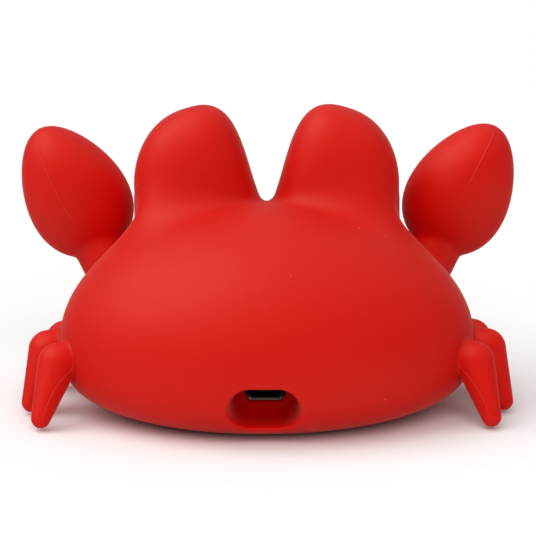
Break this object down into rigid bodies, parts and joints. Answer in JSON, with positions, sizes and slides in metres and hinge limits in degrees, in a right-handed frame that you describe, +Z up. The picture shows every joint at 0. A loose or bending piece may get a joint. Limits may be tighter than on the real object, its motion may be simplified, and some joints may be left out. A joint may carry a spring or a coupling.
{
  "type": "crab night light",
  "caption": "Soft silicone crab night light on a flat base, with a charging pocket at the rear, an inner lamp with battery and light dome, and a slide switch underneath.",
  "frame": {"origin": "centre of the crab's footprint, on the table under it", "axes": "+X across the crab from claw to claw, +Y to the rear where the charging pocket opens, +Z up"},
  "size_m": [0.1022, 0.064, 0.0608],
  "materials": {
    "red_silicone": "matte",
    "white_plastic": "satin",
    "plated_steel": "satin",
    "green_board": "gloss",
    "black_plastic": "matte",
    "gilt_contacts": "polished",
    "ceramic": "gloss",
    "grey_foam": "matte",
    "battery_foil": "satin",
    "red_insulation": "gloss",
    "black_insulation": "gloss",
    "white_board": "gloss",
    "light_package": "gloss",
    "frosted_plastic": "frosted"
  },
  "bodies": {
    "lamp": {"silicone_skin": "red_silicone", "base_housing": "white_plastic", "base_cover": "white_plastic", "cover_screws": "plated_steel", "control_board": "green_board", "charging_socket_shell": "plated_steel", "charging_socket_tongue": "black_plastic", "charging_socket_contacts": "gilt_contacts", "switch_can": "plated_steel", "switch_base": "black_plastic", "control_chip": "black_plastic", "charging_chip": "black_plastic", "board_passives": "ceramic", "link_strip": "black_plastic", "link_pins": "gilt_contacts", "battery_pad": "grey_foam", "battery_cell": "battery_foil", "battery_lead_positive": "red_insulation", "battery_lead_negative": "black_insulation", "led_board": "white_board", "leds": "light_package", "led_board_screws": "plated_steel", "light_dome": "frosted_plastic"},
    "slider": {"switch_slider": "black_plastic"}
  },
  "joints": [
    {"name": "switch_slide", "type": "slide", "parent": "lamp", "child": "slider", "axis": [1, 0, 0], "range_m": [0, 0.002]}
  ]
}
